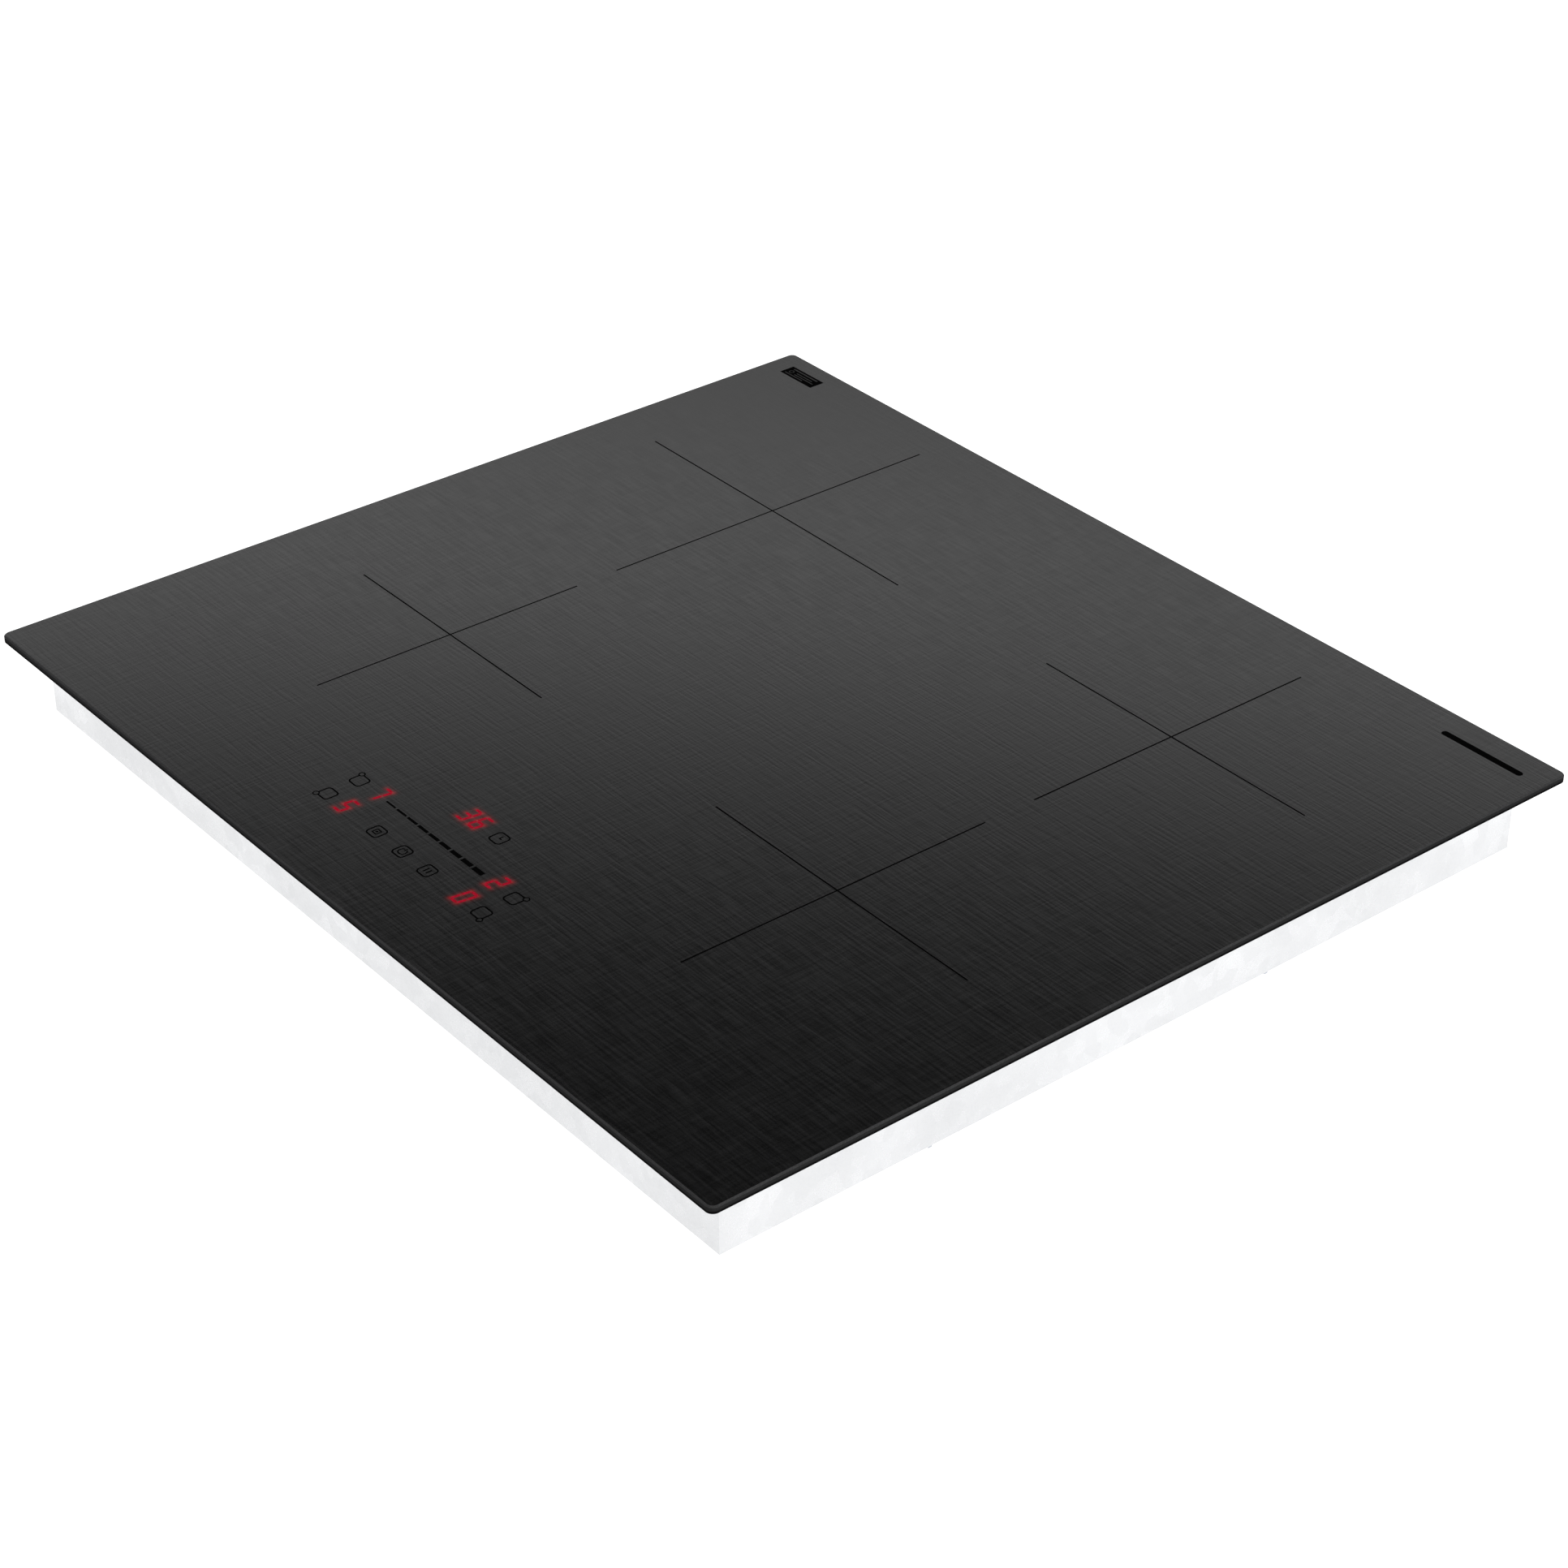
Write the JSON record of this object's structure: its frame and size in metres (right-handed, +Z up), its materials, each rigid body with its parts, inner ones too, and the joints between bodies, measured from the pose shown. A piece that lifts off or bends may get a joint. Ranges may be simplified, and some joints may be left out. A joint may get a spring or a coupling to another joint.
{
  "type": "induction hob",
  "caption": "Built-in electric induction hob: matt black glass plate with marked zones and touch controls, over a sheet-metal casing holding coils, electronics and fans; swivel clamps below.",
  "frame": {"origin": "centre of the worktop seat: the middle of the hob, on the underside of the foam seal, level with the worktop's surface", "axes": "+X along the hob's width to the user's right, +Y to the back (the touch controls are at -Y), +Z up out of the worktop"},
  "size_m": [0.59, 0.52, 0.058],
  "materials": {
    "black_glass_ceramic": "matt black glass-ceramic with a fine cross-hatched grain and ground edges",
    "foam_seal": "black foam sealing tape",
    "silicone_bead": "dark silicone adhesive",
    "casing_steel": "zinc-coated sheet steel, satin",
    "cover_steel": "zinc-coated sheet steel, satin",
    "zinc_steel": "zinc-plated steel",
    "clamp_steel": "zinc-plated steel strip",
    "grommet_rubber": "black rubber",
    "terminal_plastic": "ivory polyamide",
    "terminal_brass": "bright brass",
    "lid_plastic": "black polyamide",
    "plate_aluminium": "mill-finish aluminium sheet",
    "litz_copper": "enamelled copper litz",
    "former_plastic": "glass-filled polyester",
    "ferrite": "dark grey ferrite",
    "mica_sheet": "pressed mica sheet",
    "sensor_ceramic": "white ceramic",
    "circuit_board": "green solder mask",
    "heatsink_aluminium": "extruded aluminium",
    "package_plastic": "black epoxy",
    "capacitor_plastic": "yellow polypropylene film capacitor case",
    "choke_copper": "enamelled copper winding",
    "relay_plastic": "dark blue relay case",
    "standoff_plastic": "natural polyamide",
    "fan_plastic": "black polyester",
    "rotor_plastic": "natural polyester",
    "carrier_plastic": "black polycarbonate"
  },
  "bodies": {
    "hob": {"glass_plate": "black_glass_ceramic", "worktop_seal": "foam_seal", "glass_bond_bead": "silicone_bead", "front_wall": "casing_steel", "back_wall": "casing_steel", "left_wall": "casing_steel", "right_wall": "casing_steel", "bottom_cover": "cover_steel", "cover_screws": "zinc_steel", "clamp_screws": "zinc_steel", "clamp_weld_nuts": "zinc_steel", "cable_grommet": "grommet_rubber", "terminal_block": "terminal_plastic", "terminal_screws": "terminal_brass", "lid_hinge_pin": "zinc_steel", "coil_plate_left": "plate_aluminium", "coil_plate_right": "plate_aluminium", "coil_springs": "zinc_steel", "sensor_springs": "zinc_steel", "winding_back_left": "litz_copper", "winding_front_left": "litz_copper", "winding_back_right": "litz_copper", "winding_front_right": "litz_copper", "former_back_left": "former_plastic", "former_front_left": "former_plastic", "former_back_right": "former_plastic", "former_front_right": "former_plastic", "ferrites_back_left": "ferrite", "ferrites_front_left": "ferrite", "ferrites_back_right": "ferrite", "ferrites_front_right": "ferrite", "mica_back_left": "mica_sheet", "mica_front_left": "mica_sheet", "mica_back_right": "mica_sheet", "mica_front_right": "mica_sheet", "sensor_back_left": "sensor_ceramic", "sensor_front_left": "sensor_ceramic", "sensor_back_right": "sensor_ceramic", "sensor_front_right": "sensor_ceramic", "power_board_left": "circuit_board", "power_board_right": "circuit_board", "heatsink_left": "heatsink_aluminium", "heatsink_right": "heatsink_aluminium", "power_devices": "package_plastic", "film_capacitors": "capacitor_plastic", "toroid_chokes": "choke_copper", "relays": "relay_plastic", "filter_board": "circuit_board", "board_standoffs": "standoff_plastic", "fan_housing_left": "fan_plastic", "fan_housing_right": "fan_plastic", "control_carrier": "carrier_plastic", "control_board": "circuit_board"},
    "clamp_back_left": {"clamp_back_left": "clamp_steel"},
    "clamp_back_right": {"clamp_back_right": "clamp_steel"},
    "clamp_front_left": {"clamp_front_left": "clamp_steel"},
    "clamp_front_right": {"clamp_front_right": "clamp_steel"},
    "fan_rotor_left": {"fan_rotor_left": "rotor_plastic"},
    "fan_rotor_right": {"fan_rotor_right": "rotor_plastic"},
    "terminal_lid": {"terminal_lid": "lid_plastic"}
  },
  "joints": [
    {"name": "clamp_front_left_swing", "type": "hinge", "parent": "hob", "child": "clamp_front_left", "pos_m": [-0.266, -0.15, -0.0391], "axis": [0, 0, 1], "range_deg": [0, 90]},
    {"name": "clamp_back_left_swing", "type": "hinge", "parent": "hob", "child": "clamp_back_left", "pos_m": [-0.266, 0.11, -0.0391], "axis": [0, 0, -1], "range_deg": [0, 90]},
    {"name": "clamp_front_right_swing", "type": "hinge", "parent": "hob", "child": "clamp_front_right", "pos_m": [0.266, -0.15, -0.0391], "axis": [0, 0, -1], "range_deg": [0, 90]},
    {"name": "clamp_back_right_swing", "type": "hinge", "parent": "hob", "child": "clamp_back_right", "pos_m": [0.266, 0.11, -0.0391], "axis": [0, 0, 1], "range_deg": [0, 90]},
    {"name": "terminal_lid_hinge", "type": "hinge", "parent": "hob", "child": "terminal_lid", "pos_m": [-0.195, 0.165, -0.0412], "axis": [-1, 0, 0], "range_deg": [0, 95]},
    {"name": "fan_left_spin", "type": "hinge", "parent": "hob", "child": "fan_rotor_left", "pos_m": [-0.062, 0.098, -0.037], "axis": [0, 0, 1], "continuous": true},
    {"name": "fan_right_spin", "type": "hinge", "parent": "hob", "child": "fan_rotor_right", "pos_m": [0.062, 0.098, -0.037], "axis": [0, 0, 1], "continuous": true}
  ]
}
